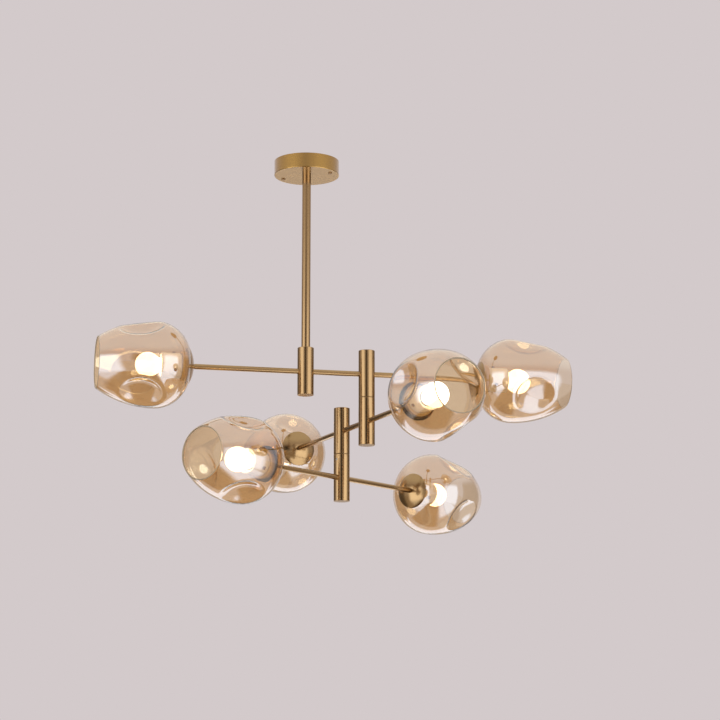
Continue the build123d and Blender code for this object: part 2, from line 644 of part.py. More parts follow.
for arm, heads in HEADS.items():
    for name, hub, turn in heads:
        shade = glass_shade(DIMPLE_TURNS[name])
        with BuildPart() as placed_shade:
            with Locations(outward(hub, turn)):
                add(shade)
        save(placed_shade.part, f"{name}_glass_shade")
        with BuildPart() as placed_bulb:
            with Locations(outward(hub, turn)):
                add(bulb_glass.part)
        save(placed_bulb.part, f"{name}_bulb_glass")
    for piece, master in HEAD_PIECES.items():
        with BuildPart() as placed_pair:
            for name, hub, turn in heads:
                with Locations(outward(hub, turn)):
                    add(master.part)
        save(placed_pair.part, f"{arm}_arm_{piece}")
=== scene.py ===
"""Finishes the globe chandelier: blown glass shades, lit bulbs, brushed brass, and the studio round it.

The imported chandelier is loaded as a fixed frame, in metres, with +Z towards the ceiling and +X along the top
arm. A lamp head is drawn in its own space, with Z out along the arm from the hub's axis and X up.
"""

from math import acos, asin, cos, pi, radians, sin, sqrt

import bpy
import numpy as np
from bpy.props import FloatProperty, FloatVectorProperty, IntProperty, PointerProperty
from mathutils import Matrix, Vector


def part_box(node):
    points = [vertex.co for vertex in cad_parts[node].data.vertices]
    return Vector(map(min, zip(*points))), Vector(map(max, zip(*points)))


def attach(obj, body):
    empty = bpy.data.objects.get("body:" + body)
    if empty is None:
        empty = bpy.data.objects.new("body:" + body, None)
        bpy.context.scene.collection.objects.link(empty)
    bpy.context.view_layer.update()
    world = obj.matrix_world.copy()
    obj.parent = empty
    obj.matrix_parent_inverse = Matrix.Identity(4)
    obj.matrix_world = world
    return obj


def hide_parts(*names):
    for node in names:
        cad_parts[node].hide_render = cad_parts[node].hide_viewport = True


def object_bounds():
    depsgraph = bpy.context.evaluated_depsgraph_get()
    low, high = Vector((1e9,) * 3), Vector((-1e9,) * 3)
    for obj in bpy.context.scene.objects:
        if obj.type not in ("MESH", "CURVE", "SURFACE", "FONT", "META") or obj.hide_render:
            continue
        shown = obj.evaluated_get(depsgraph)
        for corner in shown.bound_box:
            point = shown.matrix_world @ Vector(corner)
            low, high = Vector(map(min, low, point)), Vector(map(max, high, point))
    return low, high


bl_info = {
    "name": "Globe Chandelier",
    "version": (1, 0, 0),
    "blender": (4, 5, 0),
    "location": "View3D > Sidebar > Chandelier",
    "description": "Glass, brass and lamps of a six-light globe chandelier",
    "category": "Object",
}

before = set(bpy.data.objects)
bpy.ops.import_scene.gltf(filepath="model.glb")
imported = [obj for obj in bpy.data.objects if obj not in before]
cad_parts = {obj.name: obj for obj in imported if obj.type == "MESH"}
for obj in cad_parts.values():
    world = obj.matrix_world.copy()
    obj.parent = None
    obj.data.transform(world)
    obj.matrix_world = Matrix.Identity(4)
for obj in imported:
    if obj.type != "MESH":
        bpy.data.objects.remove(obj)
CAD_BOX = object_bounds()

MM = 0.001

# The lamp heads: hub that carries it, body it moves with, bearing from the top arm in degrees, and where the
# dimples are round its shade, in degrees clockwise from the top, seen from the hub
HEADS = {
    "top_left": ("stem_hub", "top_frame", 180.0, (93.0, 213.0, 333.0)),
    "top_right": ("upper_hub_top", "top_frame", 0.0, (2.0, 122.0, 242.0)),
    "middle_front": ("upper_hub_swivel", "middle_arm", 281.0, (80.0, 212.0, 315.0)),
    "middle_back": ("lower_hub_top", "middle_arm", 101.0, (19.0, 139.0, 259.0)),
    "bottom_front": ("lower_hub_swivel", "bottom_arm", 218.0, (100.0, 202.0, 335.0)),
    "bottom_back": ("lower_hub_swivel", "bottom_arm", 38.0, (35.0, 129.0, 250.0)),
}

# The arms: a hub on its axis, bearing in degrees, body and lamp heads
ARMS = {
    "top": ("stem_hub", 0.0, "top_frame", ("top_left", "top_right")),
    "middle": ("upper_hub_swivel", 101.0, "middle_arm", ("middle_front", "middle_back")),
    "bottom": ("lower_hub_swivel", 38.0, "bottom_arm", ("bottom_front", "bottom_back")),
}

STANDING_BRASS = (
    "stem_tube", "stem_hub", "stem_hub_plug", "upper_hub_top", "upper_hub_swivel", "upper_hub_plug",
    "lower_hub_top", "lower_hub_swivel", "lower_hub_plug",
)
STEEL_NODES = (
    "mounting_bar", "stem_nipples", "stem_nuts", "upper_hub_pivot", "lower_hub_pivot",
    "upper_hub_grub_screw", "lower_hub_grub_screw",
)

# How finely the meshes are drawn
SHADE_RINGS = 72
LIP_STRIPS = 8
SINK_STEPS = 40
BULB_STEPS = 24
CAP_FRONT_STEPS = 28
CAP_EDGE_STEPS = 7
CAP_BACK_STEPS = 20
CORNER_STEPS = 5
SHARP_ANGLE = 50.0

# Small sizes of the turned pieces. A bulb's poles are tiny holes, so that its profile closes on itself
BULB_POLE = 0.2 * MM
BULB_FOOT = 1.0 * MM
BULB_BLEND = 4.0 * MM
SLEEVE_CORNER = 1.1 * MM
NUT_CORNER = 1.0 * MM

# The order of a shade's materials
OUTSIDE, INSIDE, EDGE = range(3)

# How far apart the marks of each finish are, in millimetres
GLASS_WAVES = 45.0
BRUSH_STREAKS = 40.0
TARNISH_PATCHES = 60.0
GLAZE_PEEL = 4.0
MOULD_GRAIN = 0.8

# Brushed brass: how much a line darkens it, how the tarnish gathers, and how far the roughness swings
LINE_TONE = 0.6
TARNISH_CONTRAST = 1.6
TARNISH_START = -0.55
BRUSH_SWING = 0.03

# Plated metal: how much smoother and duller its clouds are than its mean
CLOUD_SMOOTHER = 0.08
CLOUD_DULLER = 0.1

# Sockets of the colour mix node
MIX_SHARE, MIX_FIRST, MIX_SECOND, MIX_RESULT = 0, 6, 7, 2


def linear(hex_colour):
    """An sRGB hex colour as linear red, green and blue."""
    channels = [int(hex_colour[i : i + 2], 16) / 255 for i in (1, 3, 5)]
    return tuple(c / 12.92 if c <= 0.04045 else ((c + 0.055) / 1.055) ** 2.4 for c in channels)


def opaque(colour):
    """A colour with full alpha, as a shader's socket takes it."""
    return (*colour, 1.0)


def add_node(tree, kind, settings=None, inputs=None):
    """Adds a node with its settings. Each input is a plain value, or the output socket it is linked from."""
    new = tree.nodes.new(kind)
    for name, value in (settings or {}).items():
        setattr(new, name, value)
    for name, value in (inputs or {}).items():
        if isinstance(value, bpy.types.NodeSocket):
            tree.links.new(value, new.inputs[name])
        else:
            new.inputs[name].default_value = value
    return new


def new_material(name):
    """An empty node material and its tree."""
    material = bpy.data.materials.new(name)
    material.use_nodes = True
    material.node_tree.nodes.clear()
    return material, material.node_tree


def finish_material(material, inputs):
    """Gives a material one principled shader with these inputs."""
    tree = material.node_tree
    shader = add_node(tree, "ShaderNodeBsdfPrincipled", inputs=inputs)
    add_node(tree, "ShaderNodeOutputMaterial", inputs={"Surface": shader.outputs["BSDF"]})
    return material


def object_place(tree):
    """A socket with each point's place in its object's own space."""
    return add_node(tree, "ShaderNodeTexCoord").outputs["Object"]


def noise(tree, vector, scale, detail, roughness=0.5):
    """A socket with a noise pattern."""
    pattern = add_node(
        tree, "ShaderNodeTexNoise",
        inputs={"Vector": vector, "Scale": scale, "Detail": detail, "Roughness": roughness},
    )
    return pattern.outputs["Fac"]


def bump(tree, height, strength, distance):
    """A socket with the normals that a height pattern tilts."""
    relief = add_node(
        tree, "ShaderNodeBump", inputs={"Strength": strength, "Distance": distance, "Height": height}
    )
    return relief.outputs["Normal"]


def calculate(tree, operation, *values, clamp=False):
    """A socket with the result of an operation on plain values or other sockets."""
    settings = {"operation": operation, "use_clamp": clamp}
    return add_node(tree, "ShaderNodeMath", settings, dict(enumerate(values))).outputs["Value"]


def mix_colours(tree, share, first, second):
    """A socket with a colour between two others."""
    mix = add_node(
        tree, "ShaderNodeMix", {"data_type": "RGBA"},
        {MIX_SHARE: share, MIX_FIRST: opaque(first), MIX_SECOND: opaque(second)},
    )
    return mix.outputs[MIX_RESULT]


def per_mm(spacing):
    """Texture scale, per metre, of a pattern whose marks are this many millimetres apart."""
    return 1.0 / (spacing * MM)


# Sizes and colours that a user would change


class ShadeSettings(bpy.types.PropertyGroup):
    """The dimpled glass shades."""

    diameter: FloatProperty(
        name="Diameter", description="Widest diameter of a shade", default=0.157, unit="LENGTH"
    )
    length: FloatProperty(
        name="Length", description="From the neck to the mouth", default=0.168, unit="LENGTH"
    )
    neck_arc: FloatProperty(
        name="Neck arc", description="Radius of the curve at the neck end", default=0.064, unit="LENGTH"
    )
    mouth: FloatProperty(name="Mouth", description="Diameter of the open end", default=0.093, unit="LENGTH")
    wall: FloatProperty(name="Wall", description="Thickness of the glass", default=0.0025, unit="LENGTH")
    hole: FloatProperty(name="Neck hole", description="Diameter of the hole", default=0.042, unit="LENGTH")
    dimple_radius: FloatProperty(
        name="Dimple radius", description="Radius of the pressed hollow", default=0.06, unit="LENGTH"
    )
    dimple_depth: FloatProperty(
        name="Dimple depth", description="Depth of the pressed hollow", default=0.023, unit="LENGTH"
    )
    dimple_station: FloatProperty(
        name="Dimple place", description="Distance from the neck end", default=0.098, unit="LENGTH"
    )
    dimple_lip: FloatProperty(
        name="Dimple lip", description="Softness of a dimple's edge", default=0.005, unit="LENGTH"
    )
    tint: FloatVectorProperty(
        name="Tint", description="Colour of light through one wall", subtype="COLOR",
        default=linear("#F2DBB8"),
    )
    lustre: FloatProperty(name="Lustre", description="Thickness of the lustre in nanometres", default=50.0)


class LampSettings(bpy.types.PropertyGroup):
    """The bulbs, their white sleeves and the caps behind them."""

    bulb_diameter: FloatProperty(
        name="Bulb diameter", description="Diameter of a bulb's globe", default=0.045, unit="LENGTH"
    )
    bulb_neck: FloatProperty(
        name="Bulb neck", description="Diameter of a bulb's neck", default=0.0267, unit="LENGTH"
    )
    glow: FloatProperty(name="Glow", description="Strength of a lit bulb", default=3.0, min=0.0)
    glow_colour: FloatVectorProperty(
        name="Glow colour", description="Colour of a lit bulb", subtype="COLOR", default=linear("#FFF3DC")
    )
    sleeve_diameter: FloatProperty(
        name="Sleeve diameter", description="Outer diameter of a sleeve", default=0.046, unit="LENGTH"
    )
    sleeve_length: FloatProperty(
        name="Sleeve length", description="Length of a sleeve", default=0.037, unit="LENGTH"
    )
    sleeve_bore: FloatProperty(
        name="Sleeve bore", description="Inner diameter of a sleeve", default=0.0391, unit="LENGTH"
    )
    ring_diameter: FloatProperty(
        name="Ring nut diameter", description="Outer diameter of a ring nut", default=0.054, unit="LENGTH"
    )
    ring_length: FloatProperty(
        name="Ring nut length", description="Length of a ring nut", default=0.012, unit="LENGTH"
    )
    dome_diameter: FloatProperty(
        name="Dome diameter", description="Diameter of a dome cap", default=0.068, unit="LENGTH"
    )
    dome_depth: FloatProperty(
        name="Dome depth", description="Depth of a dome cap", default=0.0095, unit="LENGTH"
    )
    dome_wall: FloatProperty(
        name="Dome wall", description="Thickness of a dome cap", default=0.0012, unit="LENGTH"
    )
    dome_hole: FloatProperty(
        name="Dome hole", description="Hole for the arm's end", default=0.0081, unit="LENGTH"
    )


class BrassSettings(bpy.types.PropertyGroup):
    """The brushed brass."""

    colour: FloatVectorProperty(
        name="Colour", description="Colour of the metal", subtype="COLOR", default=linear("#A98B60")
    )
    worn_colour: FloatVectorProperty(
        name="Aged colour", description="Colour where the metal has darkened", subtype="COLOR",
        default=linear("#977952"),
    )
    roughness: FloatProperty(
        name="Roughness", description="Mean roughness of the brushed face", default=0.19, min=0.0, max=1.0
    )
    line_spacing: FloatProperty(
        name="Brush lines", description="Distance between brush lines in millimetres", default=1.2, min=0.05
    )


class StageSettings(bpy.types.PropertyGroup):
    """The studio."""

    background: FloatVectorProperty(
        name="Background", description="Colour behind the chandelier", subtype="COLOR",
        default=linear("#D3CACB"),
    )
    floor_drop: FloatProperty(
        name="Floor drop", description="From the ceiling to the floor", default=2.6, unit="LENGTH"
    )
    lens: FloatProperty(name="Lens", description="Focal length in millimetres", default=105.0)


class ChandelierSettings(bpy.types.PropertyGroup):
    """Everything that a user would change."""

    shade: PointerProperty(type=ShadeSettings)
    lamp: PointerProperty(type=LampSettings)
    brass: PointerProperty(type=BrassSettings)
    stage: PointerProperty(type=StageSettings)
    segments: IntProperty(name="Segments", description="Faces round a turned piece", default=128, min=16)


# Places


def hub_centre(node):
    """The centre of a hub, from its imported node."""
    low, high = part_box(node)
    return (low + high) / 2


def reach(node):
    """How far a node of the top arm goes out from the stem's axis, on the left side."""
    return hub_centre("stem_hub").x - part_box(node)[0].x


def head_matrix(head):
    """From a lamp head's own space to the chandelier's."""
    hub, _, turn, _ = HEADS[head]
    out = Vector((cos(radians(turn)), sin(radians(turn)), 0.0))
    up = Vector((0.0, 0.0, 1.0))
    matrix = Matrix((up, out.cross(up), out)).transposed().to_4x4()
    matrix.translation = hub_centre(hub)
    return matrix


# Meshes


def add_object(name, vertices, faces, material, body, nodes, sharp_angle=None):
    """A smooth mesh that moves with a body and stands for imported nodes."""
    mesh = bpy.data.meshes.new(name)
    mesh.from_pydata(vertices, [], faces)
    mesh.shade_smooth()
    if sharp_angle:
        mesh.set_sharp_from_angle(angle=radians(sharp_angle))
    mesh.materials.append(material)
    piece = bpy.data.objects.new(name, mesh)
    bpy.context.scene.collection.objects.link(piece)
    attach(piece, body)
    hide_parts(*nodes)
    return piece


def ring_faces(first, rings, around):
    """Faces that join rings of vertices into a closed skin, the last ring to the first."""
    faces = []
    for i in range(rings):
        for n in range(around):
            j, m = (i + 1) % rings, (n + 1) % around
            faces.append(tuple(first + a * around + b for a, b in ((i, n), (i, m), (j, m), (j, n))))
    return faces


def turned(profile, matrices, segments):
    """Vertices and faces of a closed profile of (radius, station) turned about Z, once for each matrix."""
    vertices, faces = [], []
    for matrix in matrices:
        first = len(vertices)
        for radius, station in profile:
            for n in range(segments):
                angle = 2 * pi * n / segments
                vertices.append(matrix @ Vector((radius * cos(angle), radius * sin(angle), station)))
        faces += ring_faces(first, len(profile), segments)
    return vertices, faces


def rounded(points, radius):
    """A closed profile with its corners rounded."""
    profile = []
    count = len(points)
    for i, corner in enumerate(points):
        corner = Vector(corner)
        before = (Vector(points[i - 1]) - corner).normalized()
        after = (Vector(points[(i + 1) % count]) - corner).normalized()
        half = before.angle(after) / 2
        centre = corner + (before + after).normalized() * (radius / sin(half))
        start = corner + before * (radius / np.tan(half)) - centre
        end = corner + after * (radius / np.tan(half)) - centre
        sweep = start.angle_signed(end)
        for k in range(CORNER_STEPS + 1):
            spoke = Matrix.Rotation(-sweep * k / CORNER_STEPS, 2) @ start
            profile.append(tuple(centre + spoke))
    return profile


def soft_max(a, b, blend):
    """The larger of two fields, with the change from one to the other rounded off."""
    near = np.maximum(blend - np.abs(a - b), 0.0) / blend
    return np.maximum(a, b) + near * near * blend / 4


def ring_profile(inner, outer, rear, front, corner):
    """A closed profile of a plain ring with rounded edges."""
    return rounded([(inner, rear), (outer, rear), (outer, front), (inner, front)], corner)


def bulb_profile(lamp):
    """A closed profile of a bulb, whose neck swells into its globe."""
    radius, neck = lamp.bulb_diameter / 2, lamp.bulb_neck / 2
    tip = reach("top_left_bulb_glass")
    base = hub_centre("stem_hub").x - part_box("top_left_bulb_glass")[1].x
    centre = tip - radius
    profile = [(BULB_POLE, base), (neck - BULB_FOOT, base), (neck, base + BULB_FOOT)]
    for station in np.linspace(base + 2 * BULB_FOOT, centre, BULB_STEPS)[:-1]:
        globe = sqrt(max(radius**2 - (centre - station) ** 2, 0.0))
        profile.append((float(soft_max(neck, globe, BULB_BLEND)), station))
    for angle in np.linspace(0, pi / 2, BULB_STEPS):
        profile.append((max(radius * cos(angle), BULB_POLE), centre + radius * sin(angle)))
    return profile


def cap_profile(lamp):
    """A closed profile of a dome cap: part of a sphere, one wall thick, with a rounded edge."""
    depth, half = lamp.dome_depth, lamp.dome_diameter / 2
    hole, thin = lamp.dome_hole / 2, lamp.dome_wall / 2
    rim = half - thin
    sphere = (half**2 + depth**2) / (2 * depth)
    hollow = sphere - lamp.dome_wall
    middle = reach("top_arm_dome_caps") - depth + sphere
    profile = []
    for radius in np.linspace(hole, rim, CAP_FRONT_STEPS):
        profile.append((radius, middle - sqrt(sphere**2 - radius**2)))
    lean = asin(half / sphere)
    edge = Vector(profile[-1]) + Vector((-sin(lean), cos(lean))) * thin
    for angle in np.linspace(-pi / 2, pi / 2, CAP_EDGE_STEPS)[1:-1]:
        profile.append(tuple(edge + Vector((cos(angle + lean), sin(angle + lean))) * thin))
    for radius in np.linspace(rim, hole, CAP_BACK_STEPS):
        profile.append((radius, middle - sqrt(hollow**2 - radius**2)))
    return profile


def shade_profile(shade, count):
    """Points (radius, station from the neck) and outward normals along the egg.

    They are evenly spaced from the neck hole to the lip.
    """
    radius, length, neck, wall = shade.diameter / 2, shade.length, shade.neck_arc, shade.wall
    flat = radius - neck
    run = length - neck
    taper = radius - shade.mouth / 2
    mouth_arc = (run**2 + taper**2) / (2 * taper)
    hole_angle = acos((shade.hole / 2 - flat) / neck)
    lip_angle = asin((run - wall / 2) / mouth_arc)
    neck_share = neck * hole_angle
    total = neck_share + mouth_arc * lip_angle
    points, normals = [], []
    for travelled in np.linspace(0.0, total, count):
        if travelled < neck_share:
            angle = hole_angle - travelled / neck
            normal = (cos(angle), -sin(angle))
            point = (flat + neck * normal[0], neck + neck * normal[1])
        else:
            angle = (travelled - neck_share) / mouth_arc
            normal = (cos(angle), sin(angle))
            point = (radius - mouth_arc + mouth_arc * normal[0], neck + mouth_arc * normal[1])
        points.append(point)
        normals.append(normal)
    return np.array(points), np.array(normals)


def shade_mesh(shade, head, around):
    """Vertices and faces of one head's shade: a dimpled egg, one wall thick, with a rounded lip."""
    points, normals = shade_profile(shade, SHADE_RINGS)
    angles = np.arange(around) * 2 * pi / around
    spokes = np.stack([np.cos(angles), np.sin(angles)], axis=1)
    egg = np.zeros((SHADE_RINGS, around, 3))
    outwards = np.zeros((SHADE_RINGS, around, 3))
    egg[..., :2] = points[:, None, :1] * spokes
    egg[..., 2] = points[:, 1:]
    outwards[..., :2] = normals[:, None, :1] * spokes
    outwards[..., 2] = normals[:, 1:]

    # Each point sinks along its normal until it is out of the dimples
    spread = shade.diameter / 2 - shade.dimple_depth + shade.dimple_radius
    centres = []
    for turn in np.radians(HEADS[head][3]):
        centres.append(np.array([spread * cos(turn), spread * sin(turn), shade.dimple_station]))
    shallow = np.zeros((SHADE_RINGS, around))
    deep = np.full((SHADE_RINGS, around), 2 * shade.dimple_depth)
    for _ in range(SINK_STEPS):
        middle = (shallow + deep) / 2
        place = egg - outwards * middle[..., None]
        hollow = shade.dimple_radius - np.min([np.linalg.norm(place - c, axis=2) for c in centres], axis=0)
        in_dimple = soft_max(-middle, hollow, shade.dimple_lip) > 0
        shallow = np.where(in_dimple, middle, shallow)
        deep = np.where(in_dimple, deep, middle)
    outer = egg - outwards * shallow[..., None]

    # The inner face is one wall behind the outer one
    across = np.roll(outer, -1, axis=1) - np.roll(outer, 1, axis=1)
    forward = np.gradient(outer, axis=0)
    normal = np.cross(across, forward)
    normal /= np.linalg.norm(normal, axis=2, keepdims=True)
    inner = outer - normal * shade.wall

    # A half round joins the two at the lip
    tangent = forward[-1] / np.linalg.norm(forward[-1], axis=1, keepdims=True)
    middle = (outer[-1] + inner[-1]) / 2
    lip = []
    for angle in np.linspace(0, pi, LIP_STRIPS + 1)[1:-1]:
        lip.append(middle + (normal[-1] * cos(angle) + tangent * sin(angle)) * shade.wall / 2)
    rings = np.concatenate([outer, np.array(lip), inner[::-1]])
    rings[..., 2] += reach("top_left_glass_shade") - shade.length

    matrix = head_matrix(head)
    vertices = [matrix @ Vector(v) for v in rings.reshape(-1, 3)]
    return vertices, ring_faces(0, len(rings), around)


# Materials


def amber_glass(name, shade, lustre):
    """Hand-blown soda glass, tinted amber, and fired on the outside with a thin metal-oxide lustre.

    The lustre, in nanometres, gives clear white reflections over the amber. The blowing leaves slow waves in
    them.
    """
    material, tree = new_material(name)
    waves = noise(tree, object_place(tree), per_mm(GLASS_WAVES), detail=1.0, roughness=0.4)
    return finish_material(material, {
        "Base Color": opaque(shade.tint),
        "Roughness": 0.015,
        "IOR": 1.52,
        "Transmission Weight": 1.0,
        "Thin Film Thickness": lustre,
        "Thin Film IOR": 2.2,
        "Normal": bump(tree, waves, strength=0.35, distance=0.4 * MM),
    })


def ground_edge_painted_shade():
    """The ground lip and neck hole of a shade: frosted amber glass that scatters light inside the wall. Its
    grey-brown colour, darker than the clear amber, is partly painted shade and glint: a mid tone between the
    dark refraction line and the pale glint along the rim.
    """
    material, _ = new_material("ground_amber_glass_painted_shade")
    return finish_material(material, {
        # Painted shade and glint: this grey-brown stands in for the dark refraction line and the pale glint
        # along the rim
        "Base Color": opaque(linear("#A8967A")),
        "Roughness": 0.4,
        "IOR": 1.52,
        "Transmission Weight": 0.35,
    })


def brushed_brass(brass, name, hub, turn, spun=False):
    """Lacquered brass, brushed round on a lathe: fine lines across the piece blur reflections along it.

    Spun caps carry the same lines as rings round the arm. The lines are really about 0.2 mm apart, too fine
    to show, and are drawn coarser.
    """
    material, tree = new_material(name)
    place = object_place(tree)
    local = add_node(
        tree, "ShaderNodeMapping", {"vector_type": "TEXTURE"},
        {"Vector": place, "Location": hub_centre(hub), "Rotation": turn},
    )
    axes = add_node(tree, "ShaderNodeSeparateXYZ", inputs={"Vector": local.outputs["Vector"]})
    x, y, z = axes.outputs["X"], axes.outputs["Y"], axes.outputs["Z"]
    across = x
    if spun:
        flat = add_node(tree, "ShaderNodeCombineXYZ", inputs={"Y": y, "Z": z})
        radius = add_node(
            tree, "ShaderNodeVectorMath", {"operation": "LENGTH"}, {0: flat.outputs["Vector"]}
        )
        across = radius.outputs["Value"]
    drawn = add_node(
        tree, "ShaderNodeCombineXYZ",
        inputs={
            "X": calculate(tree, "MULTIPLY", across, per_mm(brass.line_spacing)),
            "Y": calculate(tree, "MULTIPLY", y, per_mm(BRUSH_STREAKS)),
            "Z": calculate(tree, "MULTIPLY", z, per_mm(BRUSH_STREAKS)),
        },
    )
    lines = noise(tree, drawn.outputs["Vector"], scale=1.0, detail=3.0)
    tarnish = noise(tree, place, per_mm(TARNISH_PATCHES), detail=4.0, roughness=0.6)
    tone = calculate(tree, "MULTIPLY", lines, LINE_TONE, clamp=True)
    gathered = calculate(tree, "MULTIPLY_ADD", tarnish, TARNISH_CONTRAST, TARNISH_START, clamp=True)
    aged = calculate(tree, "MULTIPLY", tone, gathered)
    rough = add_node(
        tree, "ShaderNodeMapRange",
        inputs={
            "Value": lines,
            "To Min": brass.roughness - BRUSH_SWING,
            "To Max": brass.roughness + BRUSH_SWING,
        },
    )
    return finish_material(material, {
        "Base Color": mix_colours(tree, aged, brass.colour, brass.worn_colour),
        "Metallic": 1.0,
        "Roughness": rough.outputs["Result"],
        "Coat Weight": 0.12,
        "Coat Roughness": 0.2,
        "Normal": bump(tree, lines, strength=0.015, distance=0.03 * MM),
    })


def lit_opal(lamp):
    """Opal bulb glass, lit from inside: even, bright and a little warmer than the studio."""
    material, _ = new_material("lit_opal_glass")
    return finish_material(material, {
        "Base Color": opaque(linear("#F7F3EA")),
        "Roughness": 0.35,
        "IOR": 1.5,
        "Emission Color": opaque(lamp.glow_colour),
        "Emission Strength": lamp.glow,
    })


def glazed_porcelain():
    """White porcelain under a clear glaze: soft body, sharp gloss, a faint orange-peel in the glaze."""
    material, tree = new_material("glazed_porcelain")
    peel = noise(tree, object_place(tree), per_mm(GLAZE_PEEL), detail=2.0)
    return finish_material(material, {
        "Base Color": mix_colours(tree, peel, linear("#FAF9F6"), linear("#F4F2EE")),
        "Roughness": 0.18,
        "IOR": 1.54,
        "Coat Weight": 0.6,
        "Coat Roughness": 0.04,
        "Normal": bump(tree, peel, strength=0.1, distance=0.05 * MM),
    })


def rolled_metal(name, light, dark, roughness, grain, lacquer=0.0):
    """Rolled and plated metal: slightly cloudy from the plating bath, and paler at a slant under a lacquer.

    The grain is the distance between its clouds, in millimetres.
    """
    material, tree = new_material(name)
    cloud = noise(tree, object_place(tree), per_mm(grain), detail=5.0, roughness=0.65)
    rough = add_node(
        tree, "ShaderNodeMapRange",
        inputs={
            "Value": cloud,
            "To Min": roughness - CLOUD_SMOOTHER,
            "To Max": roughness + CLOUD_DULLER,
        },
    )
    return finish_material(material, {
        "Base Color": mix_colours(tree, cloud, linear(light), linear(dark)),
        "Metallic": 1.0,
        "Roughness": rough.outputs["Result"],
        "Coat Weight": lacquer,
        "Coat Roughness": 0.1,
    })


def moulded_plastic(name, colour, roughness):
    """Moulded plastic: an even colour with a fine matt texture from the mould."""
    material, tree = new_material(name)
    grain = noise(tree, object_place(tree), per_mm(MOULD_GRAIN), detail=2.0)
    return finish_material(material, {
        "Base Color": opaque(linear(colour)),
        "Roughness": roughness,
        "IOR": 1.53,
        "Normal": bump(tree, grain, strength=0.15, distance=0.03 * MM),
    })


def matt_paint(name, colour):
    """Matt emulsion paint: even and without gloss."""
    material, _ = new_material(name)
    return finish_material(material, {"Base Color": opaque(colour), "Roughness": 0.9, "IOR": 1.45})


def card_cloth(name, colour, strength, width, tall, fade):
    """The cloth of a softbox or dark card: even, and thinning out towards its edges to soften its image."""
    material, tree = new_material(name)
    axes = add_node(tree, "ShaderNodeSeparateXYZ", inputs={"Vector": object_place(tree)})
    cover = []
    for axis, half in (("X", width / 2), ("Y", tall / 2)):
        thin = add_node(
            tree, "ShaderNodeMapRange", {"interpolation_type": "SMOOTHSTEP"},
            {
                "Value": calculate(tree, "ABSOLUTE", axes.outputs[axis]),
                "From Min": half - fade,
                "From Max": half,
                "To Min": 1.0,
                "To Max": 0.0,
            },
        )
        cover.append(thin.outputs["Result"])
    clear = add_node(tree, "ShaderNodeBsdfTransparent")
    glow = add_node(tree, "ShaderNodeEmission", inputs={"Color": opaque(colour), "Strength": strength})
    cloth = add_node(
        tree, "ShaderNodeMixShader",
        inputs={
            0: calculate(tree, "MULTIPLY", *cover),
            1: clear.outputs["BSDF"],
            2: glow.outputs["Emission"],
        },
    )
    add_node(tree, "ShaderNodeOutputMaterial", inputs={"Surface": cloth.outputs["Shader"]})
    return material


def dress(nodes, material):
    """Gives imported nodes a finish."""
    for name in nodes:
        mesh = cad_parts[name].data
        mesh.materials.clear()
        mesh.materials.append(material)


# Operators


class CHANDELIER_OT_glass_shades(bpy.types.Operator):
    """Blow the six dimpled shades"""

    bl_idname = "chandelier.glass_shades"
    bl_label = "Glass Shades"

    def execute(self, context):
        settings = context.scene.chandelier
        outside = amber_glass("amber_lustre_glass", settings.shade, settings.shade.lustre)
        inside = amber_glass("amber_glass", settings.shade, 0.0)
        edge = ground_edge_painted_shade()
        around = settings.segments
        lip = SHADE_RINGS - 1
        for head, (_, body, _, _) in HEADS.items():
            vertices, faces = shade_mesh(settings.shade, head, around)
            piece = add_object(
                f"{head}_shade", vertices, faces, outside, body, [f"{head}_glass_shade"]
            )
            # The glass lets the lamps' light through to the sleeve inside
            piece.visible_shadow = False
            piece.data.materials.append(inside)
            piece.data.materials.append(edge)
            neck_edge = len(faces) // around - 1
            for number, face in enumerate(piece.data.polygons):
                strip = number // around
                if strip < lip:
                    face.material_index = OUTSIDE
                elif strip < lip + LIP_STRIPS or strip == neck_edge:
                    face.material_index = EDGE
                else:
                    face.material_index = INSIDE
        return {"FINISHED"}


class CHANDELIER_OT_bulbs(bpy.types.Operator):
    """Screw in the six lit bulbs"""

    bl_idname = "chandelier.bulbs"
    bl_label = "Bulbs"

    def execute(self, context):
        settings = context.scene.chandelier
        profile = bulb_profile(settings.lamp)
        material = lit_opal(settings.lamp)
        for head, (_, body, _, _) in HEADS.items():
            vertices, faces = turned(profile, [head_matrix(head)], settings.segments // 2)
            add_object(
                f"{head}_bulb", vertices, faces, material, body, [f"{head}_bulb_glass"],
                SHARP_ANGLE,
            )
        return {"FINISHED"}


class CHANDELIER_OT_lampholders(bpy.types.Operator):
    """Glaze the sleeves and lampholders"""

    bl_idname = "chandelier.lampholders"
    bl_label = "Lampholders"

    def execute(self, context):
        settings = context.scene.chandelier
        lamp = settings.lamp
        porcelain = glazed_porcelain()
        outer, bore = lamp.sleeve_diameter / 2, lamp.sleeve_bore / 2
        front = reach("top_arm_sleeves")
        rear = front - lamp.sleeve_length
        profile = ring_profile(bore, outer, rear, front, SLEEVE_CORNER)
        for arm, (_, _, body, heads) in ARMS.items():
            matrices = [head_matrix(head) for head in heads]
            vertices, faces = turned(profile, matrices, settings.segments)
            add_object(
                f"{arm}_sleeves", vertices, faces, porcelain, body,
                [f"{arm}_arm_sleeves"], SHARP_ANGLE,
            )
        dress([f"{arm}_arm_lampholders" for arm in ARMS], porcelain)
        return {"FINISHED"}


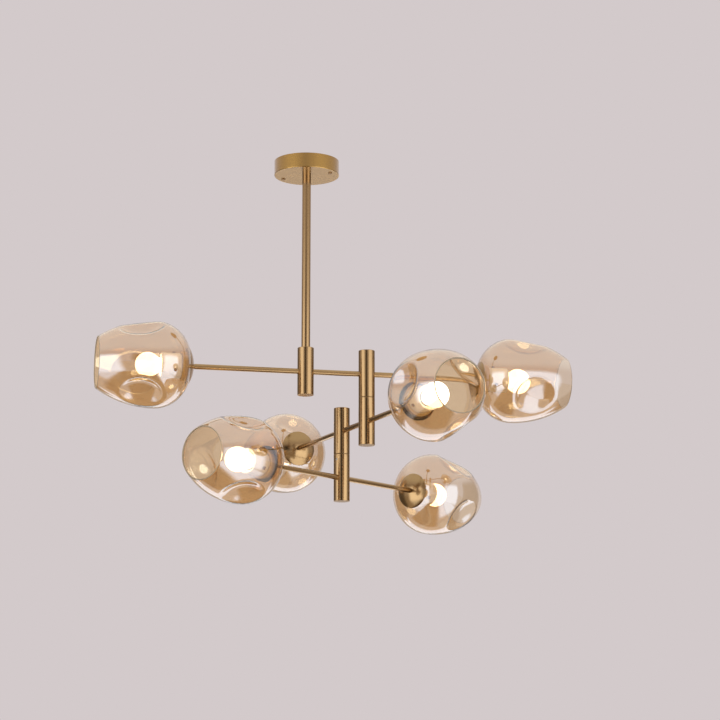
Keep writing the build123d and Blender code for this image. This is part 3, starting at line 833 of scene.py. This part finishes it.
class CHANDELIER_OT_brasswork(bpy.types.Operator):
    """Brush and lacquer the brass"""

    bl_idname = "chandelier.brasswork"
    bl_label = "Brasswork"

    def execute(self, context):
        settings = context.scene.chandelier
        brass, lamp = settings.brass, settings.lamp
        upright = (0.0, pi / 2, 0.0)
        dress(STANDING_BRASS, brushed_brass(brass, "brushed_brass_standing", "stem_hub", upright))
        satin = rolled_metal("satin_plated_brass", "#BB9449", "#AC853E", 0.25, 30.0, lacquer=1.0)
        dress(["ceiling_canopy"], satin)
        nut_finish = rolled_metal("turned_brass", "#E6CC92", "#D6BB80", 0.38, 8.0)

        cap = cap_profile(lamp)
        front = reach("top_arm_ring_nuts")
        rear = front - lamp.ring_length
        nut = ring_profile(lamp.sleeve_bore / 2, lamp.ring_diameter / 2, rear, front, NUT_CORNER)
        for arm, (hub, bearing, body, heads) in ARMS.items():
            turn = (0.0, 0.0, radians(bearing))
            tube_finish = brushed_brass(brass, f"brushed_brass_{arm}_arm", hub, turn)
            dress([f"{arm}_arm_tubes", f"{arm}_arm_sleeve_screws"], tube_finish)
            cap_finish = brushed_brass(brass, f"spun_brass_{arm}_arm", hub, turn, spun=True)
            matrices = [head_matrix(head) for head in heads]
            vertices, faces = turned(cap, matrices, settings.segments)
            add_object(
                f"{arm}_domes", vertices, faces, cap_finish, body, [f"{arm}_arm_dome_caps"],
                SHARP_ANGLE,
            )
            vertices, faces = turned(nut, matrices, settings.segments)
            add_object(
                f"{arm}_rings", vertices, faces, nut_finish, body, [f"{arm}_arm_ring_nuts"],
                SHARP_ANGLE,
            )
        return {"FINISHED"}


class CHANDELIER_OT_hidden_works(bpy.types.Operator):
    """Finish the steel, contacts, wiring and terminals"""

    bl_idname = "chandelier.hidden_works"
    bl_label = "Hidden Works"

    def execute(self, context):
        dress(STEEL_NODES, rolled_metal("zinc_plated_steel", "#B9B9B4", "#9FA09C", 0.38, 6.0))
        contact = rolled_metal("nickel_plated_brass", "#C4BBA0", "#AAA084", 0.3, 3.0)
        dress([f"{arm}_arm_{piece}" for arm in ARMS for piece in ("socket_contacts", "bulb_bases")], contact)
        dress([f"{arm}_arm_wiring" for arm in ARMS], moulded_plastic("pvc_cable_sheath", "#DDD8CE", 0.45))
        dress(["terminal_block"], moulded_plastic("moulded_polyamide", "#E6E3DB", 0.5))
        dress(["canopy_screws"], rolled_metal("bronzed_steel", "#A58866", "#8C7254", 0.42, 2.0))
        return {"FINISHED"}


# The studio. The camera's place is in metres
CAMERA_PLACE = (-0.74296, -3.66938, -1.15371)
CAMERA_YAW = radians(-12.96)
CAMERA_PITCH = radians(11.75)
FLOOR_WIDTH = 60.0
LAMP_COLOUR = "#FFF6EC"
LIGHT_BOUNCES = 24

# The sky turns paler between two heights, as sines of the angle above the level. The fill lights matt faces
SKY_LOW, SKY_HIGH = 0.37, 0.65
FILL_STRENGTH = 0.8

# Lamps, and cards that only reflections show, are round the chandelier at a bearing to the right of the
# camera, in degrees, and a height from the chandelier's middle. A card faces the chandelier or lies flat
LAMPS = (
    # name, bearing, distance, height, width, tall, watts
    ("right_lamp", 50.0, 3.2, 0.8, 2.0, 2.0, 48.0),
    ("left_lamp", -52.0, 3.2, 0.8, 2.0, 2.0, 48.0),
)
CARDS = (
    # name, lies flat, bearing, distance, height, width, tall, fade at the edges, colour, strength
    ("right_softbox", False, 54.0, 3.2, -0.475, 3.8, 3.45, 0.7, "#F8F8FF", 2.2),
    ("left_softbox", False, -54.0, 3.2, -0.475, 3.8, 3.45, 0.7, "#F8F8FF", 2.3),
    ("right_floor", True, 47.0, 2.4, -1.92, 2.9, 3.4, 0.5, "#F8F8FF", 1.9),
    ("left_floor", True, -58.0, 2.8, -1.92, 1.8, 2.2, 0.6, "#F8F8FF", 1.4),
    ("back_floor", True, 180.0, 3.3, -1.9, 5.0, 3.6, 0.3, "#F8F8FF", 1.9),
    ("front_floor", True, -32.0, 1.3, -1.9, 2.6, 4.4, 0.4, "#6A5138", 1.0),
    ("camera_card", False, -2.0, 5.2, 0.6, 3.0, 2.5, 0.8, "#2B2218", 1.0),
    ("left_back_card", False, -125.0, 3.0, -0.5, 2.8, 3.4, 0.6, "#6E645A", 1.0),
    ("right_back_card", False, 125.0, 3.0, -0.5, 2.8, 3.4, 0.6, "#6E645A", 1.0),
)


def stand(thing, bearing, distance, height, aim, flat=False):
    """Puts a lamp or card at a bearing from the camera's side, flat or facing the chandelier."""
    angle = radians(bearing) + CAMERA_YAW
    thing.location = aim + Vector((sin(angle) * distance, -cos(angle) * distance, height))
    thing.rotation_euler = (aim - thing.location).to_track_quat("-Z", "Y").to_euler()
    if flat:
        thing.rotation_euler = (0.0, 0.0, CAMERA_YAW)


def add_sheet(name, width, tall, height, material):
    """A flat rectangle about the origin, at a height."""
    corners = [(x * width / 2, y * tall / 2, height) for x, y in ((-1, -1), (1, -1), (1, 1), (-1, 1))]
    mesh = bpy.data.meshes.new(name)
    mesh.from_pydata(corners, [], [(0, 1, 2, 3)])
    mesh.materials.append(material)
    sheet = bpy.data.objects.new(name, mesh)
    bpy.context.scene.collection.objects.link(sheet)
    return sheet


def studio_world(stage):
    """A plain background that camera, glass and metal see, and an even fill for everything else."""
    world = bpy.data.worlds.new("studio")
    world.use_nodes = True
    tree = world.node_tree
    tree.nodes.clear()
    sky = add_node(tree, "ShaderNodeTexCoord")
    axes = add_node(tree, "ShaderNodeSeparateXYZ", inputs={"Vector": sky.outputs["Generated"]})
    rise = add_node(
        tree, "ShaderNodeMapRange", {"interpolation_type": "SMOOTHSTEP"},
        {"Value": axes.outputs["Z"], "From Min": SKY_LOW, "From Max": SKY_HIGH},
    )
    colour = mix_colours(tree, rise.outputs["Result"], stage.background, linear("#FBF8F6"))
    seen = add_node(tree, "ShaderNodeBackground", inputs={"Color": colour, "Strength": 1.0})
    fill = add_node(
        tree, "ShaderNodeBackground",
        inputs={"Color": opaque(linear("#FFFAF5")), "Strength": FILL_STRENGTH},
    )
    ray = add_node(tree, "ShaderNodeLightPath").outputs
    shiny = calculate(tree, "MAXIMUM", ray["Is Glossy Ray"], ray["Is Transmission Ray"])
    direct = calculate(tree, "MAXIMUM", ray["Is Camera Ray"], shiny)
    both = add_node(
        tree, "ShaderNodeMixShader",
        inputs={0: direct, 1: fill.outputs["Background"], 2: seen.outputs["Background"]},
    )
    add_node(tree, "ShaderNodeOutputWorld", inputs={"Surface": both.outputs["Shader"]})
    return world


class CHANDELIER_OT_stage(bpy.types.Operator):
    """Set up the floor, lights, background and camera"""

    bl_idname = "chandelier.stage"
    bl_label = "Stage"

    def execute(self, context):
        scene = context.scene
        stage = scene.chandelier.stage
        aim = (CAD_BOX[0] + CAD_BOX[1]) / 2

        paint = matt_paint("pale_floor_paint", linear("#D2C6BC"))
        floor = add_sheet("floor", FLOOR_WIDTH, FLOOR_WIDTH, -stage.floor_drop, paint)

        for name, flat, bearing, distance, height, width, tall, fade, colour, strength in CARDS:
            cloth = card_cloth(f"{name}_cloth", linear(colour), strength, width, tall, fade)
            card = add_sheet(name, width, tall, 0.0, cloth)
            stand(card, bearing, distance, height, aim, flat)
            card.visible_camera = False
            card.visible_diffuse = False
            card.visible_transmission = False
            card.visible_shadow = False

        for name, bearing, distance, height, width, tall, watts in LAMPS:
            light = bpy.data.lights.new(name, "AREA")
            light.shape = "RECTANGLE"
            light.size, light.size_y = width, tall
            light.energy = watts
            light.color = linear(LAMP_COLOUR)
            lamp = bpy.data.objects.new(name, light)
            scene.collection.objects.link(lamp)
            stand(lamp, bearing, distance, height, aim)
            lamp.visible_camera = False
            lamp.visible_glossy = False
            lamp.visible_transmission = False

        scene.world = studio_world(stage)
        scene.view_settings.view_transform = "Standard"
        scene.cycles.max_bounces = LIGHT_BOUNCES
        scene.cycles.transmission_bounces = LIGHT_BOUNCES

        camera_data = bpy.data.cameras.new("camera")
        camera_data.lens = stage.lens
        camera = bpy.data.objects.new("camera", camera_data)
        camera.location = CAMERA_PLACE
        camera.rotation_euler = (pi / 2 + CAMERA_PITCH, 0.0, CAMERA_YAW)
        scene.collection.objects.link(camera)
        scene.camera = camera
        return {"FINISHED"}


OPERATORS = (
    CHANDELIER_OT_glass_shades,
    CHANDELIER_OT_bulbs,
    CHANDELIER_OT_lampholders,
    CHANDELIER_OT_brasswork,
    CHANDELIER_OT_hidden_works,
    CHANDELIER_OT_stage,
)


class CHANDELIER_PT_panel(bpy.types.Panel):
    """The chandelier's pieces and their settings"""

    bl_idname = "CHANDELIER_PT_panel"
    bl_label = "Globe Chandelier"
    bl_space_type = "VIEW_3D"
    bl_region_type = "UI"
    bl_category = "Chandelier"

    def draw(self, context):
        settings = context.scene.chandelier
        for operator in OPERATORS:
            self.layout.operator(operator.bl_idname)
        for group in (settings.shade, settings.lamp, settings.brass, settings.stage):
            box = self.layout.box()
            for name in group.__annotations__:
                box.prop(group, name)
        self.layout.prop(settings, "segments")


CLASSES = (
    ShadeSettings,
    LampSettings,
    BrassSettings,
    StageSettings,
    ChandelierSettings,
    *OPERATORS,
    CHANDELIER_PT_panel,
)


def register():
    for cls in CLASSES:
        bpy.utils.register_class(cls)
    bpy.types.Scene.chandelier = PointerProperty(type=ChandelierSettings)


def unregister():
    del bpy.types.Scene.chandelier
    for cls in reversed(CLASSES):
        bpy.utils.unregister_class(cls)


def main():
    """Registers the add-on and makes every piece."""
    register()
    bpy.ops.chandelier.glass_shades()
    bpy.ops.chandelier.bulbs()
    bpy.ops.chandelier.lampholders()
    bpy.ops.chandelier.brasswork()
    bpy.ops.chandelier.hidden_works()
    bpy.ops.chandelier.stage()
    bpy.context.view_layer.update()


if __name__ == "__main__":
    main()
